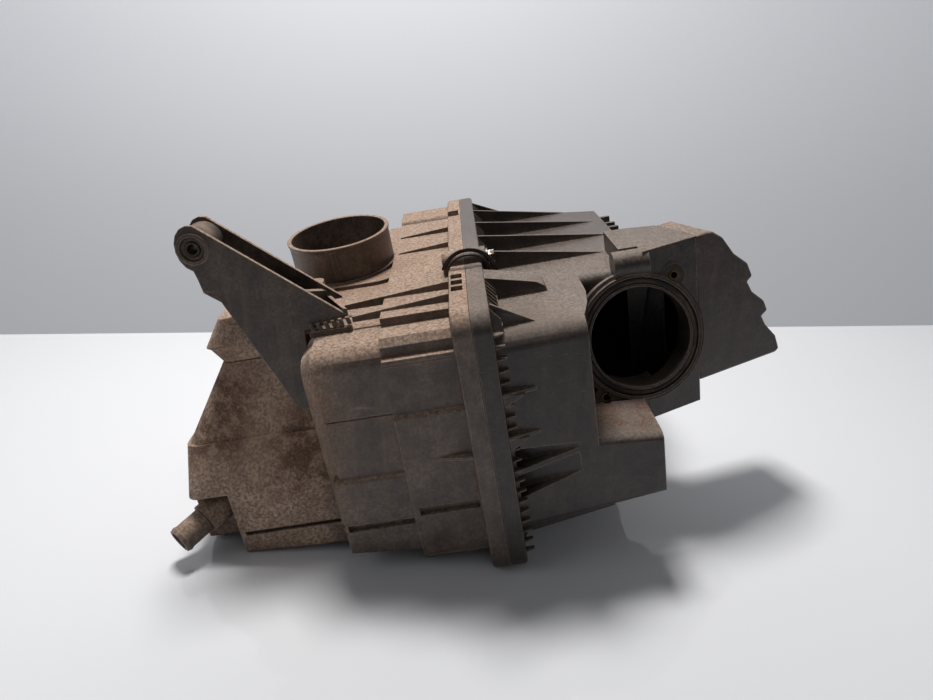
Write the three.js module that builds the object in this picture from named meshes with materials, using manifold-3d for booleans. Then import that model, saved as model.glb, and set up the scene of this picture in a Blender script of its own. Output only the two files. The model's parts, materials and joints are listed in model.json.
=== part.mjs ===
// Air filter housing of a car engine, lying on its side as it does on a bench.
// Units are millimetres. Inside the model, X runs square to the joint between the two halves
// (negative in the lower case, positive in the cover), Y runs away from the near side and Z runs
// up the joint. A last group tilts the whole housing until its flange and its foot meet the ground.
import * as THREE from 'three';
import { mergeVertices } from 'three/addons/utils/BufferGeometryUtils.js';
import Module from 'manifold-3d';

const wasm = await Module();
wasm.setup();

// Driving dimensions
const flangeDepth = 375; // flange, along Y
const flangeHeight = 207; // flange, along Z
const rim = 13.3; // thickness of each half's rim
const rimCorner = 16;
const rimRound = 2.4; // rounding of each rim's outer edge
const splitGap = 0.15; // each rim stops this far from the joint plane
const wall = 2.6;
const gap = 0.3; // left between pieces that touch
const inset = 8; // the walls stand this far inside the flange edge
const ribThickness = 2.4;

// Lower case
const neckLength = 62; // stepped part next to the flange
const bodyLength = 110;
const bodyChamfer = 10;
const chamberLength = 232; // dirty-air chamber, measured from the joint
const chamberFar = 262;
const footReach = 200; // the foot's edge, measured from the joint
const footLift = 29.3; // the foot's edge above the flange's lowest edge

// Cover
const towerLength = 74; // part beside the outlet
const coverLength = 133;
const toeLength = 119; // low block under the outlet
const coverTop = flangeHeight - 19;
const boxTop = flangeHeight - 3; // outlet box and resonator

// Ports
const inletRadius = 44;
const inletHeight = 30;
const inletLean = THREE.MathUtils.degToRad(5);
const outletRadius = 38; // bore
const outletCentre = new THREE.Vector3(122, 72, flangeHeight - 65.4);
const outletNormal = new THREE.Vector3(0.099, -0.969, 0.228).normalize();
const drainRadius = 10;
const drainLength = 36.5;

// Mounting arm
const armNear = 54; // near face of the near plate
const armWidth = 31; // over both plates
const armPlate = 3;
const armEye = [-177, flangeHeight + 57];
const armEyeRadius = 12;

// Filter
const lip = 5.7; // half the seal's thickness
const mediaDepth = 40;
const pleatPitch = 11;

// Fasteners
const screwRadius = 2.9;
const screwLength = 20;
const towerRadius = 8.6;

// Resonator
const resonatorTurn = THREE.MathUtils.degToRad(21.5);
const resonatorThickness = 50;
// The resonator keeps clear of the cover's far corner and of the outlet's collar.
const resonatorLeft = Math.max(coverLength + 41, outletCentre.x + outletRadius + 14);
const resonatorCorner = [resonatorLeft, 100];
const resonatorBottom = 83;

// ---------------------------------------------------------------- solids

// Columns: where an outline's u, its v and the extrusion go, for each direction of extrusion.
const unit = [new THREE.Vector3(1, 0, 0), new THREE.Vector3(0, 1, 0), new THREE.Vector3(0, 0, 1)];
const basis = {
  x: [unit[1], unit[2], unit[0]],
  y: [unit[2], unit[0], unit[1]],
  z: [unit[0], unit[1], unit[2]],
};

function solid(geometry) {
  const bare = geometry.clone();
  bare.deleteAttribute('normal');
  bare.deleteAttribute('uv');
  const merged = mergeVertices(bare, 1e-4);
  return new wasm.Manifold(new wasm.Mesh({
    numProp: 3,
    vertProperties: new Float32Array(merged.attributes.position.array),
    triVerts: new Uint32Array(merged.index.array),
  }));
}

function join(solids) {
  return solids.reduce((sum, piece) => sum.add(piece));
}

function geometryOf(manifold) {
  const mesh = manifold.getMesh();
  const geometry = new THREE.BufferGeometry();
  geometry.setAttribute('position', new THREE.BufferAttribute(mesh.vertProperties, mesh.numProp));
  geometry.setIndex(new THREE.BufferAttribute(mesh.triVerts, 1));
  const flat = geometry.toNonIndexed();
  flat.computeVertexNormals();
  return flat;
}

function polygon(points) {
  return new THREE.Shape(points.map(([u, v]) => new THREE.Vector2(u, v)));
}

function roundedRect([u0, u1], [v0, v1], r) {
  const quarter = Math.PI / 2;
  const shape = new THREE.Shape();
  shape.absarc(u1 - r, v0 + r, r, -quarter, 0);
  shape.absarc(u1 - r, v1 - r, r, 0, quarter);
  shape.absarc(u0 + r, v1 - r, r, quarter, 2 * quarter);
  shape.absarc(u0 + r, v0 + r, r, 2 * quarter, 3 * quarter);
  return shape;
}

function prism(shape, axis, [from, to], curveSegments = 4) {
  const geometry = new THREE.ExtrudeGeometry(shape, {
    depth: to - from,
    bevelEnabled: false,
    curveSegments,
  });
  geometry.translate(0, 0, from);
  return geometry.applyMatrix4(new THREE.Matrix4().makeBasis(...basis[axis]));
}

// An outline of [x, z] points extruded along Y.
function sidePrism(points, span) {
  return solid(prism(polygon(points.map(([x, z]) => [z, x])), 'y', span));
}

// An outline of [x, y] points extruded along Z.
function planPrism(points, span) {
  return solid(prism(polygon(points), 'z', span));
}

function box([x0, x1], [y0, y1], [z0, z1]) {
  const geometry = new THREE.BoxGeometry(x1 - x0, y1 - y0, z1 - z0);
  return solid(geometry.translate((x0 + x1) / 2, (y0 + y1) / 2, (z0 + z1) / 2));
}

// A rounded rectangle extruded along an axis, whose section changes evenly from first to last.
// A section is [[u0, u1], [v0, v1]]; grow moves every face out, and reach moves the two ends.
function block({ axis, ends, first, last = first, r = 3 }, grow = 0, reach = [0, 0]) {
  const widen = ([low, high]) => [low - grow, high + grow];
  const [start, stop] = [ends[0] - grow, ends[1] + grow];
  const [from, to] = [first.map(widen), last.map(widen)];
  const radius = Math.max(r + grow, 0.6);
  const geometry = new THREE.ExtrudeGeometry(roundedRect(from[0], from[1], radius), {
    depth: 1,
    bevelEnabled: false,
    curveSegments: radius < 7 ? 2 : 3,
  });
  const position = geometry.attributes.position;
  for (let i = 0; i < position.count; i += 1) {
    const uv = [position.getX(i), position.getY(i)];
    const atEnd = position.getZ(i) > 0.5;
    if (atEnd) {
      for (const k of [0, 1]) {
        const share = (uv[k] - from[k][0]) / (from[k][1] - from[k][0]);
        uv[k] = to[k][0] + share * (to[k][1] - to[k][0]);
      }
    }
    position.setXYZ(i, uv[0], uv[1], atEnd ? stop + reach[1] : start - reach[0]);
  }
  return solid(geometry.applyMatrix4(new THREE.Matrix4().makeBasis(...basis[axis])));
}

// A cylinder from one point towards a direction.
function rod(start, direction, radius, length, sides = 24) {
  const geometry = new THREE.CylinderGeometry(radius, radius, length, sides);
  geometry.translate(0, length / 2, 0);
  const turn = new THREE.Quaternion().setFromUnitVectors(unit[1], direction.clone().normalize());
  geometry.applyQuaternion(turn);
  return solid(geometry.translate(start.x, start.y, start.z));
}

// A ring turned from [radius, height] points about Z.
function turned(points, sides) {
  const closed = [...points, points[0]].map(([r, h]) => new THREE.Vector2(r, h));
  return new THREE.LatheGeometry(closed, sides).rotateX(Math.PI / 2);
}

// Puts a ring turned about Z with its own Z along a direction.
function aim(geometry, origin, direction) {
  const turn = new THREE.Quaternion().setFromUnitVectors(unit[2], direction);
  return geometry.applyQuaternion(turn).translate(origin.x, origin.y, origin.z);
}

// ---------------------------------------------------------------- shared places

const insideFar = flangeDepth - inset;
const neckTop = flangeHeight - 7.5;
const bodyTop = flangeHeight - 17;
const shoulderTop = flangeHeight - 2;
const screwPlaces = [
  { y: 120, z: flangeHeight + 1 },
  { y: flangeDepth + 3, z: flangeHeight - 47 },
  { y: flangeDepth + 3, z: 58 },
];
const towerLengthX = 17;
const insertRadius = 4.6;
const insertLength = 13;

// Both rims in one plate with rounded outer edges, cut down to the span of one rim.
function flangeRing(span) {
  const geometry = new THREE.ExtrudeGeometry(roundedRect([0, flangeDepth], [0, flangeHeight], rimCorner), {
    depth: 2 * (rim - rimRound),
    bevelThickness: rimRound,
    bevelSize: rimRound,
    bevelOffset: -rimRound,
    bevelSegments: 2,
    curveSegments: 4,
  });
  geometry.translate(0, 0, rimRound - rim);
  const plate = solid(geometry.applyMatrix4(new THREE.Matrix4().makeBasis(...basis.x)));
  return plate.intersect(box(span, [-5, flangeDepth + 5], [-5, flangeHeight + 5]));
}

// The seat of the filter's seal, cut into the face of each rim.
function sealSeat([from, to]) {
  const edge = 6 - gap;
  const shape = roundedRect([edge, flangeDepth - edge], [edge, flangeHeight - edge], rimCorner - edge);
  return solid(prism(shape, 'x', [from, to]));
}

function wedgeRib(y, root, tip, rootZ, tipZ) {
  const low = Math.min(rootZ, tipZ) - 4;
  return sidePrism([[root, rootZ], [tip, tipZ], [tip, low], [root, low]],
    [y - ribThickness / 2, y + ribThickness / 2]);
}

function screwTower({ y, z }, [from, to]) {
  const round = rod(new THREE.Vector3(from, y, z), unit[0], towerRadius, to - from);
  const web = y > flangeDepth
    ? box([from, to], [flangeDepth - inset - 2, y], [z - towerRadius + 1, z + towerRadius - 1])
    : box([from, to], [y - towerRadius + 1, y + towerRadius - 1], [flangeHeight - inset - 2, z]);
  return round.add(web);
}

// ---------------------------------------------------------------- lower case

const neckLedge = 137;
const neckLip = neckTop - 18.5;
const neckRecess = 4;
const neckOutline = [
  [inset, 25], [inset + 7, 14], [insideFar - 12, 14], [insideFar, 26], [insideFar, neckTop - 12],
  [insideFar - 12, neckTop], [40, neckTop], [40, neckTop - 6], [19, neckTop - 6],
  [inset + 6, neckTop - 11], [inset + 6, neckLip], [inset, neckLip], [inset, neckLip - 3],
  [inset + neckRecess, neckLip - 6], [inset + neckRecess, neckLedge + 2], [inset, neckLedge],
];
const caseBlocks = {
  body: {
    axis: 'x', ends: [-bodyLength, -neckLength + 20], r: 15,
    first: [[12, flangeDepth - 15], [29, bodyTop]],
    last: [[12, flangeDepth - 15], [23.5, bodyTop]],
  },
  bodyEnd: {
    axis: 'x', ends: [-bodyLength - bodyChamfer, -bodyLength + 2], r: 13,
    first: [[24, flangeDepth - 27], [34, bodyTop - 9]],
    last: [[12.6, flangeDepth - 15.6], [29.6, bodyTop - 0.6]],
  },
  skirt: {
    axis: 'x', ends: [-bodyLength - 4, -neckLength + 1], r: 3,
    first: [[9, 120], [31, 95]],
    last: [[9, 120], [26, 94]],
  },
  belly: {
    axis: 'z', ends: [84, 120], r: 10,
    first: [[-chamberLength, -112], [31, chamberFar]],
    last: [[-chamberLength + 5, -112], [47, chamberFar]],
  },
  slope: {
    axis: 'z', ends: [119, flangeHeight - 35], r: 12,
    first: [[-chamberLength + 5.8, -113], [47.8, chamberFar - 1]],
    last: [[-chamberLength + 41, -113], [72, chamberFar - 1]],
  },
  brow: {
    axis: 'z', ends: [flangeHeight - 40, flangeHeight - 20], r: 9,
    first: [[-chamberLength + 43, -114], [75, 148]],
    last: [[-chamberLength + 34, -114], [68, 148]],
  },
  shoulder: {
    axis: 'z', ends: [flangeHeight - 21, shoulderTop], r: 10,
    first: [[-chamberLength + 33.4, -115], [67.4, 150]],
    last: [[-chamberLength + 46, -115], [75, 146]],
  },
  foot: {
    axis: 'x', ends: [-footReach, -104], r: 4,
    first: [[31, chamberFar], [footLift, 88]],
    last: [[31, chamberFar], [24, 90]],
  },
  heel: {
    axis: 'x', ends: [-chamberLength + 1, -footReach + 4], r: 4,
    first: [[46, chamberFar], [38, 88]],
    last: [[46, chamberFar], [36, 88]],
  },
  pedestal: {
    axis: 'z', ends: [flangeHeight - 45, flangeHeight - 14], r: 20,
    first: [[-160, -58], [150, 258]],
  },
  farBlock: {
    axis: 'x', ends: [-neckLength, -rim + 1], r: 5,
    first: [[310, insideFar - 10], [neckTop - 10, flangeHeight - 4]],
  },
};

// Long slots moulded into the near side above the bottom lip, and their thicker backing.
const caseSlots = [
  { x: [-neckLength + 4, -rim - 1], y: inset, z: [57.5, 64.5] },
  { x: [-bodyLength - 2, -neckLength - 1], y: 9, z: [51, 56.5] },
  { x: [-footReach + 4, -bodyLength - 6], y: 31, z: [46, 49.5] },
];
const slotDepth = 4;
const seamHeight = 140; // fine groove across the near side of the body

function inletAxis() {
  return new THREE.Vector3(0, -Math.sin(inletLean), Math.cos(inletLean));
}

const inletFoot = new THREE.Vector3(-107.3, 204, flangeHeight - 9);
const inletCollar = 14;
const drainAxis = new THREE.Vector3(-28, -30, -9).normalize();
const drainFoot = new THREE.Vector3(-213, 52, 66);
const drainCollar = 19.5;

function lowerCase() {
  const outer = join([
    flangeRing([-rim - 1, -splitGap]),
    solid(prism(polygon(neckOutline), 'x', [-neckLength, -rim + 1])),
    ...Object.values(caseBlocks).map((spec) => block(spec)),
    wedgeRib(armNear + armPlate / 2, -rim + 1, -83, flangeHeight - 2, flangeHeight - 8),
    wedgeRib(armNear + armWidth - armPlate / 2, -rim + 1, -92, flangeHeight - 2, flangeHeight - 8),
    wedgeRib(200, -rim + 1, -neckLength + 4, flangeHeight - 3, neckTop + 1),
    wedgeRib(256, -rim + 1, -neckLength + 2, flangeHeight - 3, neckTop + 1),
    planPrism([[-rim + 1, 2], [-44, inset + 1], [-rim + 1, inset + 1]], [101, 103.4]),
    rod(inletFoot.clone().addScaledVector(inletAxis(), -inletCollar), inletAxis(),
      inletRadius + 2, inletCollar, 48),
    rod(drainFoot.clone().addScaledVector(drainAxis, -8), drainAxis, drainRadius + 2, 8 + drainCollar),
    ...screwPlaces.map((place) => screwTower(place, [-towerLengthX, -splitGap])),
  ]);
  const shrunk = (name, reach) => block(caseBlocks[name], -wall, reach);
  const inside = -neckLength + wall;
  const neckRoom = (near, top) => block({
    axis: 'x', ends: [inside, 1], r: 6, first: [[near, insideFar - wall], [14 + wall, top]],
  });
  const backing = caseSlots.map(({ x, y, z }) =>
    box([x[0] - wall, x[1] + wall], [y, y + slotDepth + wall], [z[0] - wall, z[1] + wall]));
  const cavity = join([
    neckRoom(inset + wall, neckLedge - wall),
    neckRoom(inset + neckRecess + wall, neckLip - wall),
    neckRoom(inset + 6 + wall, neckTop - 12 - wall),
    neckRoom(40 + wall, neckTop - wall),
    shrunk('body', [0, 0]),
    shrunk('bodyEnd', [0, 12]),
    shrunk('belly'),
    shrunk('slope', [8, 0]),
    shrunk('brow'),
    shrunk('shoulder', [6, 0]),
    shrunk('foot'),
    shrunk('heel', [0, 12]),
    shrunk('pedestal', [20, 0]),
    box([-footReach + wall, -116], [44, chamberFar - wall], [60, 100]),
    box([-chamberLength + 8, -footReach + 8], [56, chamberFar - wall], [60, 98]),
    box([-132, -100], [76, chamberFar - 8], [48, bodyTop - 24]),
  ]).subtract(join(backing));
  const slots = caseSlots.map(({ x, y, z }) => box(x, [y - 20, y + slotDepth], z));
  const seam = box([-bodyLength + 2, -neckLength - 0.4], [5, 12.9], [seamHeight, seamHeight + 1.3]);
  const inletBore = rod(inletFoot.clone().addScaledVector(inletAxis(), -24), inletAxis(),
    inletRadius - 4 + gap, 40, 48);
  const drainBore = rod(drainFoot.clone().addScaledVector(drainAxis, -24), drainAxis,
    drainRadius - 2 + gap, 60);
  const rimWindows = [
    box([-rim - 1, -2], [268, 308], [flangeHeight - 5, flangeHeight + 1]),
    box([-rim + 2, -3], [52, 62], [flangeHeight - 4, flangeHeight + 1]),
    box([-rim + 2, -3], [66, 76], [flangeHeight - 4, flangeHeight + 1]),
    box([-rim + 2, -3], [80, 90], [flangeHeight - 4, flangeHeight + 1]),
  ];
  const insertHoles = screwPlaces.map(({ y, z }) =>
    rod(new THREE.Vector3(-towerLengthX + 3, y, z), unit[0], insertRadius + gap, 30));
  return outer.subtract(join([
    cavity, sealSeat([-6, 1]), inletBore, drainBore, seam, ...slots, ...rimWindows, ...insertHoles,
  ]));
}

// ---------------------------------------------------------------- cover

const coverBlocks = {
  tower: {
    axis: 'x', ends: [rim - 1, towerLength], r: 14,
    first: [[inset, 112], [30, coverTop]],
    last: [[inset, 112], [44, coverTop]],
  },
  main: {
    axis: 'x', ends: [rim - 1, coverLength], r: 10,
    first: [[97, flangeDepth - 14], [29, coverTop]],
    last: [[97, flangeDepth - 78], [50, coverTop]],
  },
  toe: {
    axis: 'x', ends: [rim - 1, toeLength], r: 8,
    first: [[inset, 112], [31, 106]],
    last: [[inset, 112], [46, 96]],
  },
  sole: {
    axis: 'x', ends: [rim - 1, 83], r: 3,
    first: [[18, 114], [20, 62]],
    last: [[18, 114], [34, 62]],
  },
  corner: {
    axis: 'x', ends: [coverLength - 30, coverLength + 12], r: 9,
    first: [[186, 272], [62, coverTop - 5]],
    last: [[190, 266], [66, coverTop - 7]],
  },
  outletSill: {
    axis: 'x', ends: [towerLength - 10, coverLength - 4.5], r: 3,
    first: [[81, 110], [66, 120]],
  },
};

const along = [Math.cos(resonatorTurn), Math.sin(resonatorTurn)];
const across = [-along[1], along[0]];

// A plan point measured along and across the resonator from its near left corner.
function resonatorPoint(p, q) {
  return [0, 1].map((k) => resonatorCorner[k] + p * along[k] + q * across[k]);
}

const boxLeft = coverLength - 4;
const boxStart = -(resonatorCorner[0] - boxLeft) / along[0];

function outletBoxPlan(shrink) {
  return [
    [boxLeft - 14 + shrink, 98 + shrink],
    [boxLeft + shrink, 98 + shrink],
    [boxLeft + shrink, resonatorPoint(boxStart, 0)[1] + 1.4 * shrink],
    resonatorPoint(-gap, shrink * 1.07),
    resonatorPoint(-gap, resonatorThickness - shrink),
    [boxLeft + 2, 152 - shrink],
    [boxLeft - 14 + shrink, 152 - shrink],
  ];
}

// The outlet's own frame: u to the right, v up the face, w out of the face.
const outletTurn = new THREE.Quaternion().setFromRotationMatrix(
  new THREE.Matrix4().lookAt(outletNormal, new THREE.Vector3(), unit[2]),
);
const plateDepth = 8;
const boltCircle = outletRadius + 14;
const boltAngle = THREE.MathUtils.degToRad(52);
const boltHole = 3;

function onOutlet(u, v, w) {
  return new THREE.Vector3(u, v, w).applyQuaternion(outletTurn).add(outletCentre);
}

function outletBolts() {
  return [boltAngle, boltAngle + Math.PI].map((angle) =>
    [boltCircle * Math.cos(angle), boltCircle * Math.sin(angle)]);
}

function outletRod(u, v, from, length, radius, sides) {
  return rod(onOutlet(u, v, from), outletNormal, radius, length, sides);
}

const lipOuter = outletRadius + 9.5;
const grooveInner = outletRadius + 2;
const grooveOuter = outletRadius + 7;
const grooveDepth = 5;

function outletCollar() {
  const bosses = outletBolts().map(([u, v]) => outletRod(u, v, -plateDepth - 1, plateDepth - 2, 9));
  const arms = outletBolts().map(([u, v]) => outletRod(u * 0.8, v * 0.8, -plateDepth - 1, plateDepth - 2, 12));
  return join([
    outletRod(0, 0, -30, 30, lipOuter, 48),
    outletRod(0, 0, -plateDepth - 1, plateDepth - 2, lipOuter + 3, 48),
    ...bosses,
    ...arms,
  ]);
}

// Pockets between the slanting fins on the near side of the toe.
const finPockets = [
  [[rim + 2, 83], [61, 96], [60, 99.5], [rim + 2, 101]],
  [[rim + 2, 60], [61, 77], [60, 91.5], [rim + 2, 79]],
];
const pocketPlan = [[rim, -2], [72, -2], [72, inset], [62, inset], [rim, inset + 14]];
const pocketBacking = [[rim - 20, -2], [74, -2], [74, inset], [64, inset + wall],
  [rim, inset + 14 + wall], [rim - 20, inset + 14 + wall]];

function roofRibs() {
  const root = rim - 1;
  const top = flangeHeight - 2;
  const far = flangeDepth - 32;
  const ribs = [[150, 114], [200, 129], [252, 124], [305, 104], [far, 48]];
  return [
    wedgeRib(23, root, 42, top, coverTop),
    ...ribs.map(([y, tip]) => wedgeRib(y, root, tip, top, coverTop)),
  ];
}

// The roof spreads over the outlet's left shoulder.
const roofFlare = [[60, 26], [74.5, 21], [80, 42], [83, 64], [83.2, 104], [60, 104]];

// Raised step of the roof between the joint and the outlet box.
function terrace() {
  const [root, low, high] = [rim - 1, coverTop - 4, flangeHeight - 2];
  return sidePrism([[root, high], [50, high - 9], [56, high - 13], [58, high - 18], [58, low], [root, low]],
    [77, 99]);
}

// Small knobs along the top of the far corner.
function cornerKnobs() {
  return [223, 238, 262].map((y) =>
    box([coverLength - 2, coverLength + 9], [y - 2, y + 2], [coverTop - 20, coverTop]));
}

function nearFins() {
  return [[36, 145, 9], [35, 112, 10]].map(([tip, z, lift]) =>
    planPrism([[rim - 1, 1.5], [tip, inset - 1], [tip, inset + 1], [rim - 1, inset + 1]], [z, z + 2.4])
      .add(sidePrism([[rim - 1, z], [tip - 8, z], [rim - 1, z - lift]], [3, inset + 1])));
}

function upperCover() {
  const outer = join([
    flangeRing([splitGap, rim + 1]),
    ...Object.values(coverBlocks).map((spec) => block(spec)),
    planPrism(outletBoxPlan(0), [65, boxTop]),
    outletCollar(),
    rod(new THREE.Vector3(108, 89.6, coverTop + 6.5), unit[0], 10, 26),
    terrace(),
    planPrism(roofFlare, [coverTop - 8, coverTop]),
    ...cornerKnobs(),
    ...roofRibs(),
    ...nearFins(),
    ...screwPlaces.map((place) => screwTower(place, [splitGap, towerLengthX])),
  ]);
  const shrunk = (name, reach) => block(coverBlocks[name], -wall, reach);
  const backing = planPrism(pocketBacking, [56, 104]);
  const cavity = join([
    shrunk('tower', [20, 0]),
    shrunk('main', [20, 0]),
    shrunk('toe', [20, 0]),
    shrunk('sole', [20, 0]),
    shrunk('corner', [20, 0]),
    planPrism(outletBoxPlan(wall), [65 + wall, boxTop - wall]),
  ]).subtract(backing);
  const pockets = finPockets.map((points) =>
    sidePrism(points, [-2, 30]).intersect(planPrism(pocketPlan, [50, 110])));
  const window = planPrism([
    resonatorPoint(-8, wall + 4), resonatorPoint(6, wall + 4),
    resonatorPoint(6, resonatorThickness - wall - 4), resonatorPoint(-8, resonatorThickness - wall - 4),
  ], [resonatorBottom + 10, boxTop - 12]);
  const groove = outletRod(0, 0, -grooveDepth, grooveDepth + 1, grooveOuter, 48)
    .subtract(outletRod(0, 0, -grooveDepth - 1, grooveDepth + 3, grooveInner, 48));
  const bolts = outletBolts().map(([u, v]) => outletRod(u, v, -plateDepth - 4, 20, boltHole + 1 + gap));
  const screwHoles = screwPlaces.map(({ y, z }) =>
    rod(new THREE.Vector3(-1, y, z), unit[0], screwRadius + 0.6, 40));
  const bore = outletRod(0, 0, -62, 70, outletRadius, 48);
  return outer.subtract(join([
    cavity, sealSeat([-1, 6]), window, bore, groove, ...pockets, ...bolts, ...screwHoles,
  ]));
}

// ---------------------------------------------------------------- other pieces

// Side view of the resonator: level top and bottom, three drooping lobes on the free end.
// Heights are shares of the distance from its bottom to its top.
const resonatorHeight = boxTop - resonatorBottom;
const resonatorOutline = [
  [0, 0], [79, 0], [83, 0.02], [79, 0.13], [68, 0.24], [64, 0.31], [70, 0.34], [66, 0.42],
  [54, 0.51], [49, 0.59], [54, 0.62], [49, 0.72], [36, 0.81], [25, 0.94], [15, 1], [0, 1],
].map(([p, share]) => [p, resonatorBottom + share * resonatorHeight]);

// Moves each corner of a closed outline inwards by the same distance from both of its sides.
function shrinkOutline(points, distance) {
  const count = points.length;
  return points.map((point, i) => {
    const before = points[(i + count - 1) % count];
    const after = points[(i + 1) % count];
    const toHere = new THREE.Vector2(point[0] - before[0], point[1] - before[1]).normalize();
    const onwards = new THREE.Vector2(after[0] - point[0], after[1] - point[1]).normalize();
    const normal = new THREE.Vector2(-toHere.y - onwards.y, toHere.x + onwards.x).normalize();
    const reach = distance / Math.max(normal.x * -toHere.y + normal.y * toHere.x, 0.5);
    return [point[0] + normal.x * reach, point[1] + normal.y * reach];
  });
}

// An outline of [along, z] points extruded across the resonator.
function resonatorSlab(points, [near, far]) {
  const geometry = new THREE.ExtrudeGeometry(polygon(points), { depth: far - near, bevelEnabled: false });
  const place = new THREE.Matrix4().makeBasis(
    new THREE.Vector3(along[0], along[1], 0),
    unit[2],
    new THREE.Vector3(-across[0], -across[1], 0),
  );
  geometry.translate(0, 0, -far);
  geometry.applyMatrix4(place);
  return solid(geometry.translate(resonatorCorner[0], resonatorCorner[1], 0));
}

function resonatorShell() {
  const shell = resonatorSlab(resonatorOutline, [0, resonatorThickness]);
  const room = resonatorSlab(shrinkOutline(resonatorOutline, wall), [wall, resonatorThickness - wall]);
  const mouth = [[-5, resonatorBottom + 10], [10, resonatorBottom + 10], [10, boxTop - 12], [-5, boxTop - 12]];
  const opening = resonatorSlab(mouth, [wall + 4, resonatorThickness - wall - 4]);
  return geometryOf(shell.subtract(room).subtract(opening));
}

function inletStub() {
  const [r, spigot, h] = [inletRadius, inletRadius - 4, inletHeight];
  const profile = [
    [r - 6, -12], [spigot, -12], [spigot, gap], [r, gap], [r, h - 3], [r + 1, h - 2], [r + 1, h],
    [r - 2.6, h], [r - 2.6, 6],
  ];
  const ring = aim(turned(profile, 48), inletFoot, inletAxis());
  const seam = box([-inletRadius * 0.05, inletRadius * 0.05], [-r - 0.9, -r + 1], [2, h - 3]);
  const turn = new THREE.Quaternion().setFromUnitVectors(unit[2], inletAxis());
  const seamGeometry = geometryOf(seam).applyQuaternion(turn);
  seamGeometry.translate(inletFoot.x, inletFoot.y, inletFoot.z);
  return geometryOf(solid(ring).add(solid(seamGeometry)));
}

function drainStub() {
  const [r, start] = [drainRadius, drainCollar + gap];
  const profile = [
    [r - 4, -4], [r - 2, -4], [r - 2, start], [r, start], [r, start + drainLength - 18],
    [r + 0.8, start + drainLength - 16], [r, start + drainLength - 14], [r, start + drainLength - 13],
    [r - 2, start + drainLength - 13],
  ];
  return aim(turned(profile, 28), drainFoot, drainAxis);
}

function armPlateOutline() {
  const [ex, ez] = armEye;
  const eye = [];
  for (let i = 0; i <= 8; i += 1) {
    const angle = THREE.MathUtils.degToRad(70 + i * 22.5);
    eye.push([ex + (armEyeRadius + 4) * Math.cos(angle) * 0.75, ez + (armEyeRadius + 4) * Math.sin(angle)]);
  }
  const top = flangeHeight;
  return [
    [-84, top - 7.5], ...eye, [-180, top + 36], [-179, top + 26], [-169, top + 17.5],
    [-160, top - 8], [-144.5, top - 50], [-139.5, top - 67], [-129.5, top - 78], [-121, top - 36],
    [-118, top - 12],
  ];
}

function mountingArm() {
  const far = armNear + armWidth;
  const outline = armPlateOutline();
  const [ex, ez] = armEye;
  const near = sidePrism(outline, [armNear, armNear + armPlate]);
  const back = sidePrism(outline, [far - armPlate, far])
    .subtract(box([-240, 0], [far - 10, far + 10], [-10, shoulderTop + gap]));
  const top = flangeHeight;
  const webs = [[[-146, 34], [-122, 21]], [[-122, 21], [-104, 3]], [[-104, 3], [-88, -2]]];
  const plates = webs.map(([[x0, z0], [x1, z1]], i) => {
    const [yFrom, yTo] = i % 2 ? [armNear + 1, far - 1] : [far - 1, armNear + 1];
    const plan = [[x0, yFrom], [x0 + 3, yFrom], [x1 + 3, yTo], [x1, yTo]];
    const sheet = planPrism(yTo > yFrom ? plan : plan.reverse(), [top - 9, top + z0]);
    return sheet.intersect(sidePrism([[x0 - 4, top + z0], [x0 - 4, top + z0 - 28], [x1 + 6, top + z1 - 28],
      [x1 + 6, top + z1]], [armNear, far]));
  });
  const collar = rod(new THREE.Vector3(ex, armNear - 1.5, ez), unit[1], armEyeRadius - 1.2, 3);
  const hole = rod(new THREE.Vector3(ex, armNear - 5, ez), unit[1], armEyeRadius - 3.5, armWidth + 10);
  const keepOut = join([
    ...Object.values(caseBlocks).map((spec) => block(spec, gap)),
    wedgeRibSpace(armNear + armPlate / 2, -83),
    wedgeRibSpace(far - armPlate / 2, -92),
  ]);
  return join([near, back, collar, ...plates]).subtract(keepOut).subtract(hole);
}

function wedgeRibSpace(y, tip) {
  const half = ribThickness / 2 + gap + armPlate;
  return box([tip - gap, 0], [y - half, y + half], [flangeHeight - 30, flangeHeight + 4]);
}

function armBushing() {
  const [r, long] = [armEyeRadius - 3.5 - gap, armWidth - 2 * armPlate - 2 * gap];
  const inner = 5.3;
  const profile = [
    [inner, -armPlate], [r, -armPlate], [r, gap], [armEyeRadius + 1, gap], [armEyeRadius + 1, long + gap],
    [r, long + gap], [r, long + armPlate], [inner, long + armPlate],
  ];
  const origin = new THREE.Vector3(armEye[0], armNear + armPlate, armEye[1]);
  return aim(turned(profile, 24), origin, unit[1]);
}

function armSleeve() {
  const profile = [[3.4, -1], [5, -1], [5, armWidth + 1], [3.4, armWidth + 1]];
  return aim(turned(profile, 20), new THREE.Vector3(armEye[0], armNear, armEye[1]), unit[1]);
}

function filterSeal() {
  const shape = roundedRect([6, flangeDepth - 6], [6, flangeHeight - 6], rimCorner - 6);
  shape.holes.push(new THREE.Path(
    roundedRect([24, flangeDepth - 26], [38, flangeHeight - 27], 6).getPoints(4).reverse(),
  ));
  return prism(shape, 'x', [-lip, lip]);
}

// A folded paper pack: a zigzag sheet in plan, as long as the filter and as tall as its frame.
function filterMedia() {
  const [start, stop] = [20, flangeDepth - 20];
  const folds = Math.round((stop - start) / pleatPitch);
  const pitch = (stop - start) / folds;
  const [front, back] = [-lip - gap - 1, -lip - gap - mediaDepth];
  const sheet = 1.1;
  const line = [];
  for (let i = 0; i <= folds * 2; i += 1) {
    line.push([i % 2 ? back : front, start + (i * pitch) / 2]);
  }
  const outline = [
    ...line.map(([x, y]) => [x - sheet * 2, y]),
    ...line.reverse().map(([x, y]) => [x + sheet * 0.6, y]),
  ];
  return prism(polygon(outline.reverse()), 'z', [24, flangeHeight - 25]);
}

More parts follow.
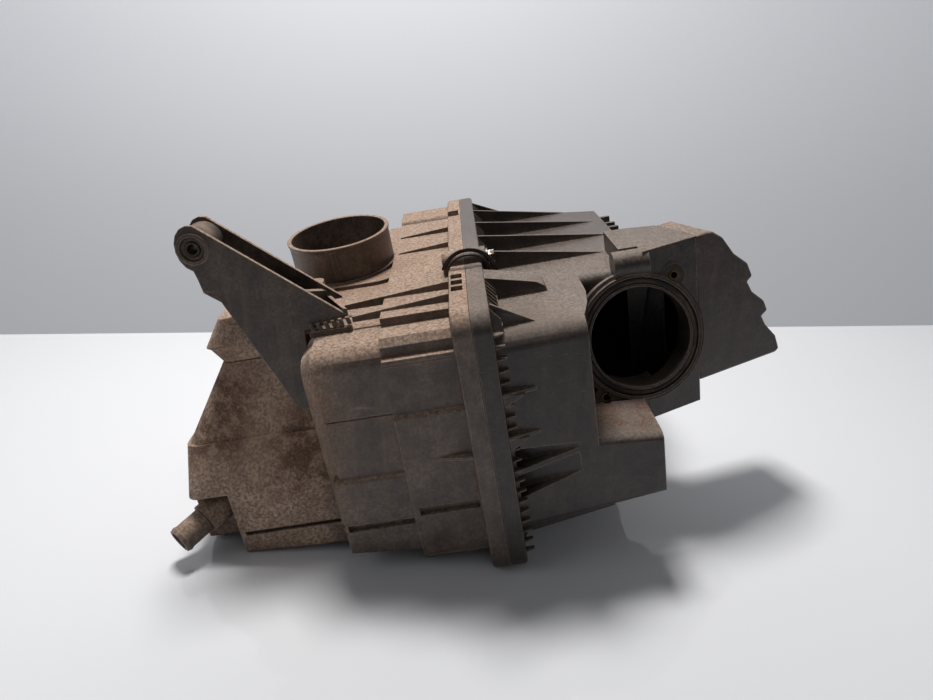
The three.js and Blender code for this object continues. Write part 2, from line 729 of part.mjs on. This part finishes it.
function filterScreen() {
  const margin = [24 + gap, 38 + gap];
  const size = [flangeDepth - 50 - 2 * gap, flangeHeight - 65 - 2 * gap];
  const [columns, rows, bar] = [8, 4, 3];
  const cell = [(size[0] - bar) / columns, (size[1] - bar) / rows];
  const plate = prism(roundedRect([margin[0], margin[0] + size[0]], [margin[1], margin[1] + size[1]], 6),
    'x', [-1.5, 1.5]);
  const windows = [];
  for (let i = 0; i < columns; i += 1) {
    for (let j = 0; j < rows; j += 1) {
      const [u, v] = [margin[0] + bar + i * cell[0], margin[1] + bar + j * cell[1]];
      windows.push(box([-5, 5], [u, u + cell[0] - bar], [v, v + cell[1] - bar]));
    }
  }
  return geometryOf(solid(plate).subtract(join(windows)));
}

function outletSeal() {
  const [inner, outer] = [grooveInner + gap, grooveOuter - gap - 0.6];
  const profile = [
    [inner, -grooveDepth + gap], [outer, -grooveDepth + gap], [outer, -1.6], [outer - 1, -0.4],
    [inner + 0.8, -0.4], [inner, -1.6],
  ];
  return aim(turned(profile, 48), outletCentre, outletNormal);
}

function outletInsert([u, v]) {
  const profile = [[boltHole - 0.6, -plateDepth - 3], [boltHole + 1, -plateDepth - 3],
    [boltHole + 1, -2.4], [boltHole - 0.6, -2.4]];
  return aim(turned(profile, 20), onOutlet(u, v, 0), outletNormal);
}

function coverScrew({ y, z }) {
  const head = 6.6;
  const flange = 1.6;
  const seat = towerLengthX + gap;
  const shank = rod(new THREE.Vector3(seat - screwLength - 8, y, z), unit[0], screwRadius, screwLength + 9, 16);
  const washer = rod(new THREE.Vector3(seat, y, z), unit[0], head, flange);
  const hex = rod(new THREE.Vector3(seat + flange - 0.1, y, z), unit[0], head * 0.78, 5, 6);
  return join([shank, washer, hex]);
}

function coverInsert({ y, z }) {
  const profile = [
    [screwRadius + 0.25, 0], [insertRadius, 0], [insertRadius, insertLength],
    [screwRadius + 0.25, insertLength],
  ];
  return aim(turned(profile, 20), new THREE.Vector3(-splitGap - gap - insertLength, y, z), unit[0]);
}

// ---------------------------------------------------------------- assembly

function finish(color, roughness, metalness = 0) {
  return new THREE.MeshStandardMaterial({ color, roughness, metalness });
}

const black = finish(0x3a3430, 0.7);
const dusty = finish(0x8a7c6e, 0.85);
const rubber = finish(0x1d1c1b, 0.8);
const paper = finish(0xb9a173, 0.9);
const seal = finish(0x4a4743, 0.75);
const steel = finish(0x8f8d89, 0.4, 0.9);
const brass = finish(0xa98a4c, 0.35, 0.9);

const housing = new THREE.Group();

function add(name, geometry, material) {
  const mesh = new THREE.Mesh(geometry, material);
  mesh.name = name;
  housing.add(mesh);
}

add('lower_case', geometryOf(lowerCase()), black);
add('upper_cover', geometryOf(upperCover()), black);
add('resonator_shell', resonatorShell(), black);
add('inlet_stub', inletStub(), dusty);
add('drain_stub', drainStub(), dusty);
add('mounting_arm', geometryOf(mountingArm()), black);
add('arm_bushing', armBushing(), rubber);
add('arm_sleeve', armSleeve(), steel);
add('filter_seal', filterSeal(), seal);
add('filter_media', filterMedia(), paper);
add('filter_screen', filterScreen(), seal);
add('outlet_seal', outletSeal(), rubber);
outletBolts().forEach((place, i) => {
  add(`outlet_insert_${i + 1}`, outletInsert(place), brass);
});
screwPlaces.forEach((place, i) => {
  add(`cover_screw_${i + 1}`, geometryOf(coverScrew(place)), steel);
  add(`cover_insert_${i + 1}`, coverInsert(place), brass);
});

// The housing leans on its foot, and its origin is under the middle of its box.
housing.rotation.y = -Math.atan2(footLift, footReach - rim);
const group = new THREE.Group();
group.add(housing);
group.updateMatrixWorld(true);
const bounds = new THREE.Box3().setFromObject(group, true);
const centre = bounds.getCenter(new THREE.Vector3());
housing.position.set(-centre.x, -centre.y, -bounds.min.z);

export default group;
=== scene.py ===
import json
import math

import bpy
from mathutils import Matrix, Vector

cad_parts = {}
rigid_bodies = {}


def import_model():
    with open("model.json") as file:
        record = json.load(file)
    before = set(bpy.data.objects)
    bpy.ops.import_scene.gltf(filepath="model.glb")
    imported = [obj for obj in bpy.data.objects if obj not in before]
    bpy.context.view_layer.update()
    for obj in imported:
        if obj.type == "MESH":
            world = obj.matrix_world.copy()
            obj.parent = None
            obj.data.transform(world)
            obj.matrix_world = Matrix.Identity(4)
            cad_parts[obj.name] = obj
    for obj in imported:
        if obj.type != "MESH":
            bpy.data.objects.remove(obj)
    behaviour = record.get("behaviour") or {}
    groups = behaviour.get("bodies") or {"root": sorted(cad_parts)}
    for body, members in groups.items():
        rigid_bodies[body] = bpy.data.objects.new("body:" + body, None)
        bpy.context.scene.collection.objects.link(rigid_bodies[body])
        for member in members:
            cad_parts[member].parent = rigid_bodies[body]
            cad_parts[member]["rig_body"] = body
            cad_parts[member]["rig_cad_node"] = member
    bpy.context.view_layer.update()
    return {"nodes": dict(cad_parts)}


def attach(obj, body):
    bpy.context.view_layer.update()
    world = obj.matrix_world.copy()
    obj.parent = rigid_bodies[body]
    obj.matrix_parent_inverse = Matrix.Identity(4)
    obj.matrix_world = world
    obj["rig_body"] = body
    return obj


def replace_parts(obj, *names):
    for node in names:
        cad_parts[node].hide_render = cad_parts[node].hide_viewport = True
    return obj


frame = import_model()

MM = 0.001

# The housing leans on its foot. Its own axes: X square to the joint between the halves, Y away
# from the near side, Z up the joint; sizes along them are in millimetres.
FLANGE_DEPTH, FLANGE_HEIGHT = 375.0, 207.0
RIM = 13.3  # how thick each half's rim is
FOOT_LIFT, FOOT_REACH = 29.3, 200
ORIGIN = (0.01029, -0.1933, 0.00206)
LEAN = math.atan2(FOOT_LIFT, FOOT_REACH - RIM)
HOUSING = Matrix.Translation(ORIGIN) @ Matrix.Rotation(-LEAN, 4, "Y")


def spot(x, y, z):
    """A point of the housing, in millimetres along its own axes, as a place in the scene."""
    return HOUSING @ Vector((x * MM, y * MM, z * MM))


# ------------------------------------------------------------------ camera

LENS, FILM_WIDTH = 27.05, 36.0
EYE = (-0.0343, -0.6016, 0.360)
LOOK_DOWN, LOOK_RIGHT = 23.4, 1.53  # degrees

camera = bpy.data.objects.new("view_camera", bpy.data.cameras.new("view_camera"))
bpy.context.scene.collection.objects.link(camera)
camera.data.lens = LENS
camera.data.sensor_width = FILM_WIDTH
camera.data.clip_start = 0.01
camera.location = EYE
camera.rotation_euler = (math.radians(90 - LOOK_DOWN), 0, math.radians(-LOOK_RIGHT))
bpy.context.scene.camera = camera
bpy.context.scene.view_settings.view_transform = "Standard"


# ------------------------------------------------------------------ finishes

def tone(red, green, blue):
    """A colour as seen, 0 to 255, as the light it reflects."""
    def light(seen):
        share = seen / 255
        return share / 12.92 if share <= 0.04045 else ((share + 0.055) / 1.055) ** 2.4
    return (light(red), light(green), light(blue), 1.0)


class Finish:
    """A material and the few node patterns that the housing's finishes share."""

    def __init__(self, name):
        self.material = bpy.data.materials.new(name)
        self.material.use_nodes = True
        self.tree = self.material.node_tree
        self.shader = self.tree.nodes["Principled BSDF"]
        place = self.node("ShaderNodeTexCoord")
        self.place = place.outputs["Object"]
        self.facing = place.outputs["Normal"]

    def node(self, kind, values=None, **settings):
        made = self.tree.nodes.new(kind)
        for name, value in settings.items():
            setattr(made, name, value)
        for name, value in (values or {}).items():
            if isinstance(value, bpy.types.NodeSocket):
                self.tree.links.new(value, made.inputs[name])
            else:
                made.inputs[name].default_value = value
        return made

    # Patterns

    def noise(self, scale, detail, rough, place=None):
        values = {
            "Vector": place or self.place, "Scale": scale, "Detail": detail, "Roughness": rough,
        }
        return self.node("ShaderNodeTexNoise", values).outputs["Fac"]

    def stretched(self, scale, turn=(0.0, 0.0, 0.0)):
        values = {"Vector": self.place, "Scale": scale, "Rotation": turn}
        return self.node("ShaderNodeMapping", values).outputs["Vector"]

    def along(self, axis, vector=None):
        return self.node("ShaderNodeSeparateXYZ", {0: vector or self.place}).outputs[axis]

    def near(self, point, reach):
        """1 at a point of the scene, fading to 0 at that reach."""
        ends = {0: self.place, 1: tuple(point)}
        away = self.node("ShaderNodeVectorMath", ends, operation="DISTANCE")
        return self.span(away.outputs["Value"], reach * 0.35, reach, 1.0, 0.0)

    def hollows(self, reach, low=0.35, high=0.8):
        """1 deep in corners and crevices, 0 on open faces."""
        shade = self.node("ShaderNodeAmbientOcclusion", {"Distance": reach}, samples=6)
        return self.span(shade.outputs["AO"], low, high, 1.0, 0.0)

    def edges(self, radius):
        """1 along sharp outer edges."""
        softened = self.node("ShaderNodeBevel", {"Radius": radius}, samples=4).outputs["Normal"]
        true = self.node("ShaderNodeNewGeometry").outputs["Normal"]
        match = self.node("ShaderNodeVectorMath", {0: softened, 1: true}, operation="DOT_PRODUCT")
        return self.span(match.outputs["Value"], 0.86, 0.985, 1.0, 0.0)

    # Sums

    def span(self, value, low, high, to_low=0.0, to_high=1.0):
        """Runs from to_low to to_high while the value runs from low to high."""
        values = {
            "Value": value, "From Min": low, "From Max": high, "To Min": to_low, "To Max": to_high,
        }
        made = self.node("ShaderNodeMapRange", values, interpolation_type="SMOOTHSTEP")
        return made.outputs["Result"]

    def sum_of(self, kind, a, b):
        return self.node("ShaderNodeMath", {0: a, 1: b}, operation=kind, use_clamp=True).outputs[0]

    def times(self, a, b):
        return self.sum_of("MULTIPLY", a, b)

    def plus(self, a, b):
        return self.sum_of("ADD", a, b)

    def larger(self, a, b):
        return self.sum_of("MAXIMUM", a, b)

    def blend(self, share, a, b):
        """Colour a, with that share of colour b."""
        return self.node("ShaderNodeMix", {0: share, 6: a, 7: b}, data_type="RGBA").outputs[2]

    # Where the patterns end up

    def set_colour(self, value):
        self.tree.links.new(value, self.shader.inputs["Base Color"])

    def set_rough(self, value):
        self.tree.links.new(value, self.shader.inputs["Roughness"])

    def set_bump(self, height, strength, depth, soft_edge=0.0):
        values = {"Height": height, "Strength": strength, "Distance": depth}
        if soft_edge:
            edge = self.node("ShaderNodeBevel", {"Radius": soft_edge}, samples=6)
            values["Normal"] = edge.outputs["Normal"]
        bump = self.node("ShaderNodeBump", values)
        self.tree.links.new(bump.outputs["Normal"], self.shader.inputs["Normal"])


def moulded_colour(f, patches, bare):
    """The bare plastic in its dark, light and run-down tones."""
    runs = f.noise(1.0, 5.0, 0.66, place=f.stretched((120.0, 120.0, 10.0)))
    colour = f.blend(f.span(patches, 0.34, 0.66), bare[0], bare[1])
    return f.blend(f.span(runs, 0.46, 0.74, 0.0, 0.5), colour, bare[2])


def lying_dust(f, broad, fine, share, far_share):
    """Dust on what faces up; far_share is how much of it is left at the far end."""
    up = f.along("Z", f.facing)
    lying = f.times(f.span(up, 0.1, 0.92), f.span(broad, 0.2, 0.62, 0.55, 1.0))
    lying = f.times(lying, f.span(fine, 0.25, 0.65, 0.62, 1.0))
    lying = f.times(lying, share)
    if far_share < 1.0:
        lying = f.times(lying, f.span(f.along("Y"), -0.1, 0.04, 1.0, far_share))
    return lying


def clinging_dirt(f, broad, patches, fine, share, brown_side):
    """Dirt on the walls; brown_side is how much more of it the dirty-air chamber carries."""
    clinging = f.times(f.span(patches, 0.4, 0.7, 0.25, 1.0), f.span(fine, 0.3, 0.66, 0.3, 1.0))
    if not brown_side:
        return f.times(clinging, share)
    chamber = f.span(f.along("X"), -0.09, -0.15, 0.0, brown_side)
    clinging = f.times(clinging, f.plus(chamber, share))
    return f.plus(clinging, f.times(chamber, f.span(broad, 0.3, 0.7, 0.62, 0.98)))


def dusty_plastic(name, bare, dust, on_top, on_sides, worn_and_sheen, clods=(), brown_side=0.0,
                  far_share=1.0):
    """Moulded plastic, darker and lighter in patches, under dust.

    bare and dust are three tones each; on_top and on_sides are the shares of dust on them; the
    edge tone is laid on edges, as wear and a painted sheen highlight, and on scratches; deep
    hollows get painted shade; clods are the place and reach of caked dirt.
    """
    f = Finish(name)
    broad = f.noise(8.0, 3.0, 0.5)
    patches = f.noise(52.0, 9.0, 0.76)
    fine = f.noise(430.0, 4.0, 0.7)
    grain = f.noise(1700.0, 2.0, 0.6)
    scratches = f.noise(1.0, 3.0, 0.7, place=f.stretched((30.0, 900.0, 260.0), (0.3, 0.2, 0.5)))

    dirt = f.larger(lying_dust(f, broad, fine, on_top, far_share),
                    clinging_dirt(f, broad, patches, fine, on_sides, brown_side))
    dirt = f.larger(dirt, f.times(f.hollows(0.009), f.span(patches, 0.3, 0.62, 0.12, 0.6)))
    dust_colour = f.blend(f.span(fine, 0.34, 0.64), dust[0], dust[1])
    dust_colour = f.blend(f.span(broad, 0.42, 0.66, 0.0, 0.55), dust_colour, dust[2])
    colour = f.blend(dirt, moulded_colour(f, patches, bare), dust_colour)

    # Painted shade: near-black colour laid into the interior and deep recesses, where shade falls.
    painted_shade = f.times(f.hollows(0.09, 0.06, 0.42), 0.88)
    colour = f.blend(painted_shade, colour, tone(12, 11, 11))
    # Edges painted in the edge tone: partly wear, partly a painted sheen highlight. Scratches take
    # the same tone as wear.
    rubbed_and_sheen = f.times(f.edges(1.3 * MM), f.span(fine, 0.3, 0.6, 0.2, 0.85))
    colour = f.blend(rubbed_and_sheen, colour, worn_and_sheen)
    colour = f.blend(f.span(scratches, 0.68, 0.74, 0.0, 0.3), colour, worn_and_sheen)

    height = f.plus(f.times(fine, 0.5), f.times(grain, 0.35))
    for place, reach in clods:
        crumbs = f.node("ShaderNodeTexVoronoi", {"Vector": f.place, "Scale": 560.0}, feature="F1")
        lumps = f.span(crumbs.outputs["Distance"], 0.1, 0.55, 1.0, 0.0)
        here = f.times(f.near(place, reach), f.span(f.noise(60.0, 6.0, 0.75), 0.44, 0.56))
        earth = f.blend(lumps, tone(92, 68, 54), tone(146, 114, 92))
        colour = f.blend(f.times(here, 0.85), colour, earth)
        height = f.plus(height, f.times(f.times(here, lumps), 0.9))
    f.set_colour(colour)
    f.set_rough(f.span(dirt, 0.0, 0.7, 0.36, 0.95))
    f.set_bump(height, 0.55, 0.7 * MM, 0.9 * MM)
    return f.material


housing_dust = (tone(146, 125, 108), tone(196, 176, 158), tone(118, 97, 82))
earthy_dust = (tone(150, 120, 100), tone(194, 170, 150), tone(132, 101, 82))
# Pale tone for edges and scratches: rubbing wear, and along edges also a painted sheen highlight.
# The arm and the ports are given their own such tones below.
worn_and_sheen_edge = tone(158, 138, 121)

case_plastic = dusty_plastic(
    "dusty_case", (tone(56, 47, 43), tone(80, 67, 60), tone(104, 85, 72)), earthy_dust,
    0.95, 0.26, worn_and_sheen_edge, brown_side=0.62,
    clods=[(spot(-205, 60, 150), 0.055), (spot(-135, 40, 104), 0.05), (spot(-200, 60, 110), 0.03)])
cover_plastic = dusty_plastic(
    "dusty_cover", (tone(32, 27, 27), tone(50, 42, 40), tone(72, 58, 52)), housing_dust,
    0.48, 0.08, worn_and_sheen_edge, far_share=0.36, clods=[(spot(100, 40, 98), 0.04)])
resonator_plastic = dusty_plastic(
    "dusty_resonator", (tone(48, 38, 38), tone(66, 53, 51), tone(84, 65, 58)), housing_dust,
    0.72, 0.1, worn_and_sheen_edge)
arm_plastic = dusty_plastic(
    "dusty_arm", (tone(44, 37, 34), tone(64, 54, 49), tone(92, 76, 64)), earthy_dust,
    0.9, 0.16, tone(160, 138, 118))
port_plastic = dusty_plastic(
    "caked_ports", (tone(66, 55, 49), tone(92, 77, 68), tone(110, 92, 78)), earthy_dust,
    0.9, 0.42, tone(170, 150, 132))


def rubber_finish(name, colour, dust_share):
    f = Finish(name)
    fine = f.noise(320.0, 5.0, 0.7)
    patches = f.noise(60.0, 4.0, 0.6)
    dirt = f.times(f.span(patches, 0.35, 0.65), dust_share)
    dirt = f.larger(dirt, f.times(f.hollows(0.006), 0.6))
    f.set_colour(f.blend(dirt, colour, tone(128, 104, 86)))
    f.set_rough(f.span(fine, 0.2, 0.8, 0.6, 0.9))
    f.set_bump(fine, 0.4, 0.4 * MM)
    return f.material


black_rubber = rubber_finish("dull_rubber", tone(34, 31, 30), 0.3)
dusty_rubber = rubber_finish("dusty_rubber", tone(60, 50, 44), 0.75)
seal_foam = rubber_finish("seal_foam", tone(70, 64, 60), 0.25)


def metal_finish(name, bright, dull, metal):
    f = Finish(name)
    fine = f.noise(420.0, 5.0, 0.7)
    tarnish = f.span(f.noise(90.0, 5.0, 0.65), 0.38, 0.62)
    f.set_colour(f.blend(tarnish, bright, dull))
    f.set_rough(f.span(tarnish, 0.0, 1.0, 0.32, 0.68))
    f.set_bump(fine, 0.25, 0.2 * MM)
    f.shader.inputs["Metallic"].default_value = metal
    return f.material


screw_steel = metal_finish("tarnished_steel", tone(104, 96, 88), tone(66, 54, 46), 0.6)
spring_wire = metal_finish("blackened_wire", tone(34, 31, 30), tone(58, 48, 42), 0.4)
insert_brass = metal_finish("aged_brass", tone(120, 98, 62), tone(64, 52, 40), 0.8)


def paper_finish():
    """Filter paper, sootier towards the bottom."""
    f = Finish("pleated_paper")
    fibres = f.noise(1.0, 5.0, 0.7, place=f.stretched((900.0, 900.0, 240.0)))
    soot = f.noise(30.0, 5.0, 0.65)
    grimy = f.times(f.span(soot, 0.3, 0.7, 0.3, 1.0), f.span(f.along("Z"), 0.03, 0.15, 0.9, 0.45))
    f.set_colour(f.blend(grimy, tone(205, 178, 128), tone(112, 92, 70)))
    f.set_rough(f.span(fibres, 0.0, 1.0, 0.85, 0.98))
    f.set_bump(fibres, 0.3, 0.3 * MM)
    return f.material


filter_paper = paper_finish()


# ------------------------------------------------------------------ modelling tools

def only(*chosen):
    bpy.ops.object.select_all(action="DESELECT")
    for piece in chosen:
        piece.select_set(True)
    bpy.context.view_layer.objects.active = chosen[0]


def edit(piece, select="SELECT"):
    only(piece)
    bpy.ops.object.mode_set(mode="EDIT")
    bpy.ops.mesh.select_all(action=select)


def done():
    bpy.ops.object.mode_set(mode="OBJECT")


def dress(piece, material, body):
    piece.data.materials.clear()
    piece.data.materials.append(material)
    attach(piece, body)
    return piece


def rounded(piece, width, angle=34, clamp=False):
    """Softens every edge sharper than the angle, as a mould does."""
    only(piece)
    bpy.ops.object.shade_smooth_by_angle(angle=math.radians(angle))
    if width:
        bevel = piece.modifiers.new("soft_edges", "BEVEL")
        bevel.width = width * MM
        bevel.segments = 2
        bevel.limit_method = "ANGLE"
        bevel.angle_limit = math.radians(angle)
        bevel.use_clamp_overlap = clamp
        flats = piece.modifiers.new("flat_faces", "WEIGHTED_NORMAL")
        flats.mode = "FACE_AREA"
        flats.weight = 80
        flats.keep_sharp = True
    return piece


def skin(node, body, material, width, angle=34, clamp=False):
    """A copy of a solid with its flat faces made whole and its edges rounded."""
    source = frame["nodes"][node]
    piece = source.copy()
    piece.data = source.data.copy()
    piece.name = node + "_skin"
    bpy.context.scene.collection.objects.link(piece)
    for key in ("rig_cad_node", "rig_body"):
        if key in piece:
            del piece[key]
    piece.parent = None
    only(piece)
    bpy.ops.mesh.customdata_custom_splitnormals_clear()
    edit(piece)
    bpy.ops.mesh.remove_doubles(threshold=0.02 * MM)
    bpy.ops.mesh.dissolve_limited(angle_limit=math.radians(0.15))
    done()
    rounded(piece, width, angle, clamp)
    dress(piece, material, body)
    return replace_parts(piece, node)


skin("lower_case", "case", case_plastic, 0.4, clamp=True)
skin("upper_cover", "cover", cover_plastic, 0.4, clamp=True)
skin("resonator_shell", "cover", resonator_plastic, 1.6, 24)
skin("mounting_arm", "case", arm_plastic, 0.4, clamp=True)
skin("inlet_stub", "case", port_plastic, 0.5)
skin("drain_stub", "case", port_plastic, 0.5)
skin("arm_bushing", "case", dusty_rubber, 0.6)
skin("arm_sleeve", "case", screw_steel, 0.3)
skin("filter_seal", "filter", seal_foam, 1.0)
skin("filter_media", "filter", filter_paper, 0.0, 8)
skin("filter_screen", "filter", cover_plastic, 0.4)
skin("outlet_seal", "cover", black_rubber, 0.4)
for i in (1, 2):
    skin(f"outlet_insert_{i}", "cover", insert_brass, 0.15)
for i in (1, 2, 3):
    skin(f"cover_insert_{i}", "case", insert_brass, 0.15)
    skin(f"cover_screw_{i}", f"screw_{i}", screw_steel, 0.25)


def slab(x, y, z):
    """A block between two limits along each of the housing's axes."""
    middle = [(low + high) / 2 for low, high in (x, y, z)]
    bpy.ops.object.select_all(action="DESELECT")
    bpy.ops.mesh.primitive_cube_add(size=1, location=middle)
    piece = bpy.context.object
    piece.scale = (x[1] - x[0], y[1] - y[0], z[1] - z[0])
    bpy.ops.object.transform_apply(location=True, rotation=False, scale=True)
    return piece


def pull(piece, inside, move):
    """Moves the corners that a test picks out."""
    edit(piece, "DESELECT")
    done()
    for corner in piece.data.vertices:
        corner.select = inside(corner.co)
    bpy.ops.object.mode_set(mode="EDIT")
    bpy.ops.transform.translate(value=move)
    done()
    return piece


def copies(piece, moves):
    """The piece and one copy of it for each further move, each with its own mesh."""
    made = [piece]
    for move in moves:
        twin = piece.copy()
        twin.data = piece.data.copy()
        bpy.context.scene.collection.objects.link(twin)
        twin.location = twin.location + Vector(move)
        made.append(twin)
    return made


def joined(name, pieces):
    only(*pieces)
    bpy.ops.object.transform_apply(location=True, rotation=True, scale=True)
    bpy.ops.object.join()
    made = bpy.context.object
    made.name = name
    return made


def fitted(piece, width, material, body):
    """Puts a piece modelled in millimetres in its place and finishes it."""
    piece.matrix_world = HOUSING @ Matrix.Scale(MM, 4)
    only(piece)
    bpy.ops.object.transform_apply(location=True, rotation=True, scale=True)
    rounded(piece, width)
    return dress(piece, material, body)


# ------------------------------------------------------------------ comb behind the cover's rim

TOOTH_PITCH, TOOTH = 8.6, 1.3
TOOTH_REACH = 6.4  # how far a tooth stands out behind the rim
SIDE_START, SIDE_STOP = 16, 188
ROOF_START, ROOF_STOP = 14, 356


def comb(name, places, edge, wall, up):
    """A row of teeth from the rim's edge to the wall, up a side or along the top or bottom."""
    across = (min(edge, wall), max(edge, wall))
    along = (places[0], places[0] + TOOTH)
    first = slab((RIM - 0.3, RIM + TOOTH_REACH), *((across, along) if up else (along, across)))
    axis = 1 if up else 2
    cut_back = Vector((0, 0, 0))
    cut_back[axis] = (wall - edge) * 0.5
    pull(first, lambda co: co.x > RIM + 3 and abs(co[axis] - edge) < 0.1, cut_back)
    shifts = [place - places[0] for place in places[1:]]
    return joined(name, copies(first, [(0, 0, s) if up else (0, s, 0) for s in shifts]))


def tooth_places(start, stop, skip=()):
    """One place each pitch from start to stop, without those in a gap."""
    places = [start + i * TOOTH_PITCH for i in range(int((stop - start) / TOOTH_PITCH) + 1)]
    return [p for p in places if not any(low < p < high for low, high in skip)]


far_towers = [(44, 72), (146, 174)]
roof_tower = (106, 133)
combs = [
    comb("comb_near", tooth_places(SIDE_START, SIDE_STOP), 3.0, 8.3, up=True),
    comb("comb_far", tooth_places(SIDE_START, SIDE_STOP, far_towers),
         FLANGE_DEPTH - 3, FLANGE_DEPTH - 14, up=True),
    comb("comb_top", tooth_places(ROOF_START, ROOF_STOP, [roof_tower]),
         FLANGE_HEIGHT - 3, FLANGE_HEIGHT - 19.5, up=False),
    comb("comb_low", tooth_places(31, ROOF_STOP), 4.0, 31, up=False),
]
for row in combs:
    fitted(row, 0.25, cover_plastic, "cover")

rail_across, rail_up = (RIM + 5.4, RIM + 7.0), (187, 191.5)
rail = joined("comb_rail", [
    slab(rail_across, (ROOF_START, roof_tower[0]), rail_up),
    slab(rail_across, (roof_tower[1], ROOF_STOP), rail_up),
])
fitted(rail, 0.4, cover_plastic, "cover")


# ------------------------------------------------------------------ spring hoops at the top screw

WIRE = 1.5
HOOP_AXIS = (2.5, 199.5)  # along X and up
HOOP_LEG = 8
HOOP_LANDING = 8.2  # how far below the axis an arch ends


def hoop(radius, y):
    """A wire arch over the joint, swept about an axis along Y, with one straight leg."""
    middle = Vector((HOOP_AXIS[0], y, HOOP_AXIS[1]))
    piece = slab((middle.x + radius - WIRE, middle.x + radius), (y - WIRE / 2, y + WIRE / 2),
                 (middle.z - 0.6, middle.z))
    edit(piece, "DESELECT")
    done()
    for face in piece.data.polygons:
        face.select = face.normal.z > 0.9
    bpy.ops.object.mode_set(mode="EDIT")
    sweep = math.pi - math.asin(HOOP_LANDING / radius)
    bpy.ops.mesh.spin(steps=20, angle=sweep, center=middle, axis=(0, 1, 0))
    bpy.ops.mesh.select_all(action="SELECT")
    bpy.ops.mesh.remove_doubles(threshold=0.001)
    bpy.ops.mesh.normals_make_consistent(inside=False)
    done()
    return pull(piece, lambda co: co.z < middle.z - 0.4 and co.x > middle.x, (0, 0, -HOOP_LEG))


hoops = joined("spring_hoops", [
    hoop(22.0, 104.0), hoop(20.0, 106.6), hoop(18.0, 102.0),
    slab((18.5, 28.5), (101, 107.6), (187.6, 191.6)),
])
fitted(hoops, 0.3, spring_wire, "cover")


# ------------------------------------------------------------------ pegs beside the arm

PEG_PITCH, PEG_RISE = 5.2, 0.35
peg = slab((-112, -109.4), (50.4, 53.2), (193.4, 199))
pull(peg, lambda co: co.z > 198, (-1.2, 0, 0))
peg_row = copies(peg, [(i * PEG_PITCH, 0, i * PEG_RISE) for i in range(1, 6)])
peg_foot = slab((-114, -83.5), (50, 53.5), (189.2, 194))
fitted(joined("arm_pegs", peg_row + [peg_foot]), 0.3, arm_plastic, "case")


# ------------------------------------------------------------------ table, wall and light

TABLE_WIDTH, TABLE_FRONT, TABLE_BACK = 5.0, -2.4, 0.30
WALL_BEHIND, WALL_MIDDLE = 0.6, 0.6
WALL_WIDTH, WALL_HEIGHT = 6.0, 3.4


def stage_finish(name, colour, rough, cloud):
    f = Finish(name)
    clouds = f.span(f.noise(2.2, 3.0, 0.5), 0.3, 0.7, 0.0, cloud)
    f.set_colour(f.blend(clouds, colour, tone(250, 250, 252)))
    f.shader.inputs["Roughness"].default_value = rough
    return f.material


def sheet(name, place, turn, size, material):
    bpy.ops.object.select_all(action="DESELECT")
    bpy.ops.mesh.primitive_plane_add(size=1, location=place, rotation=turn)
    made = bpy.context.object
    made.name = name
    made.scale = (*size, 1)
    made.data.materials.append(material)
    return made


table_top = sheet(
    "pale_table", (0, (TABLE_BACK + TABLE_FRONT) / 2, 0), (0, 0, 0),
    (TABLE_WIDTH, TABLE_BACK - TABLE_FRONT),
    stage_finish("pale_table_top", tone(230, 231, 233), 0.06, 0.3))
wall_face = stage_finish("grey_wall_face", tone(226, 227, 231), 0.7, 0.25)
glow = wall_face.node_tree.nodes["Principled BSDF"].inputs
glow["Emission Color"].default_value = tone(226, 228, 234)
glow["Emission Strength"].default_value = 0.24
wall = sheet("grey_wall", (0, TABLE_BACK + WALL_BEHIND, WALL_MIDDLE), (math.pi / 2, 0, 0),
             (WALL_WIDTH, WALL_HEIGHT), wall_face)


def lamp(name, place, aim, size, power, colour):
    data = bpy.data.lights.new(name, "AREA")
    data.shape = "RECTANGLE"
    data.size, data.size_y = size
    data.energy = power
    data.color = colour
    light = bpy.data.objects.new(name, data)
    bpy.context.scene.collection.objects.link(light)
    light.location = place
    light.rotation_euler = (Vector(aim) - Vector(place)).to_track_quat("-Z", "Y").to_euler()
    return light


housing_middle = (0, 0, 0.1)
lamp("ceiling", (-0.2, 0.25, 1.5), (-0.02, -0.03, 0), (0.42, 0.3), 21.5, (1.0, 0.99, 0.98))
lamp("window", (-1.5, -0.7, 1.1), housing_middle, (1.0, 0.9), 2.4, (0.95, 0.97, 1.0))
lamp("room", (0.5, -1.7, 1.2), housing_middle, (1.4, 1.0), 0.9, (0.97, 0.98, 1.0))

sky = bpy.data.worlds.new("room_light")
sky.use_nodes = True
background = sky.node_tree.nodes["Background"].inputs
background["Color"].default_value = tone(220, 221, 226)
background["Strength"].default_value = 0.13
bpy.context.scene.world = sky
